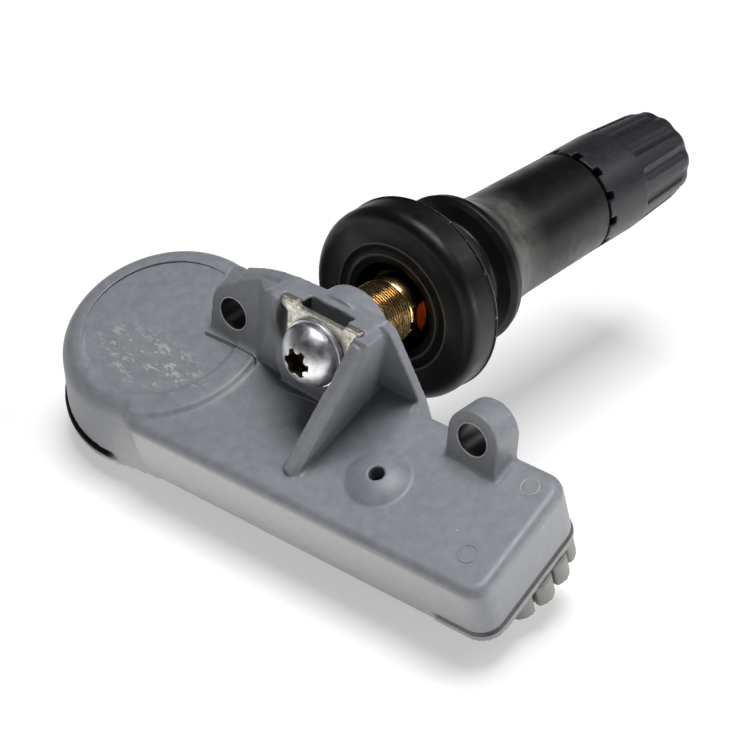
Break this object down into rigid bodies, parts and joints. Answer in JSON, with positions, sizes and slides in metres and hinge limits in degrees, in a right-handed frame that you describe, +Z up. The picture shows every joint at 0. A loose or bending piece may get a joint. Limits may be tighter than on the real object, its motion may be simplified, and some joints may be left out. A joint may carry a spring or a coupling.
{
  "type": "tyre pressure sensor",
  "caption": "Wheel sensor in a grey moulded housing, clamped by a screw to a snap-in rubber tyre valve with a fluted cap.",
  "frame": {"origin": "on the valve axis at the middle of the rubber's rim groove", "axes": "+Y along the valve towards its cap, +Z up through the top of the housing, X along the housing with the battery end at -X"},
  "size_m": [0.0563, 0.0616, 0.03],
  "materials": {
    "housing": "satin, glass-filled nylon",
    "cover": "satin",
    "potting": "dull",
    "board": "satin solder mask",
    "cell": "satin",
    "tabs": "bright",
    "chip": "matte",
    "seal": "matte",
    "ferrite": "matte",
    "winding": "enamelled",
    "capacitor": "matte",
    "plate": "tinned, rough",
    "screw": "polished",
    "stem": "fine turned",
    "valve": "satin",
    "core": "turned",
    "gasket": "matte",
    "spring": "bright",
    "cap": "satin"
  },
  "bodies": {
    "sensor": {"housing": "housing", "bottom_cover": "cover", "potting": "potting", "circuit_board": "board", "coin_cell": "cell", "cell_tab_upper": "tabs", "cell_tab_lower": "tabs", "sensor_chip": "chip", "port_seal": "seal", "coil_core": "ferrite", "coil_winding": "winding", "crystal": "cell", "capacitors": "capacitor", "antenna_strip": "tabs", "saddle_plate": "plate", "stem_insert": "stem", "valve_rubber": "valve", "core_body": "core", "core_gasket": "gasket", "core_spring": "spring"},
    "pin": {"core_pin": "core", "pin_seal": "seal"},
    "cap_seat": {"cap_seal": "gasket"},
    "cap": {"valve_cap": "cap"},
    "washer": {"screw_washer": "screw"},
    "screw": {"clamp_screw": "screw"}
  },
  "joints": [
    {"name": "pin_press", "type": "slide", "parent": "sensor", "child": "pin", "axis": [0, -1, 0], "range_m": [0, 0.0012], "stiffness_N_per_m": 1500, "springref_m": -0.002, "deforming": ["core_spring"]},
    {"name": "cap_lift", "type": "slide", "parent": "sensor", "child": "cap_seat", "axis": [0, 1, 0], "range_m": [0, 0.0135]},
    {"name": "cap_turn", "type": "hinge", "parent": "cap_seat", "child": "cap", "pos_m": [0, 0.03, 0], "axis": [0, 1, 0], "range_deg": [0, 6122]},
    {"name": "screw_lift", "type": "slide", "parent": "sensor", "child": "washer", "axis": [0, -1, 0], "range_m": [0, 0.0045]},
    {"name": "screw_turn", "type": "hinge", "parent": "washer", "child": "screw", "pos_m": [0, -0.0185, 0], "axis": [0, -1, 0], "range_deg": [0, 3241]}
  ],
  "couplings": [
    {"joint": "cap_turn", "follows": "cap_lift", "rad_per_m": 7913.3},
    {"joint": "screw_turn", "follows": "screw_lift", "rad_per_m": 12566}
  ]
}
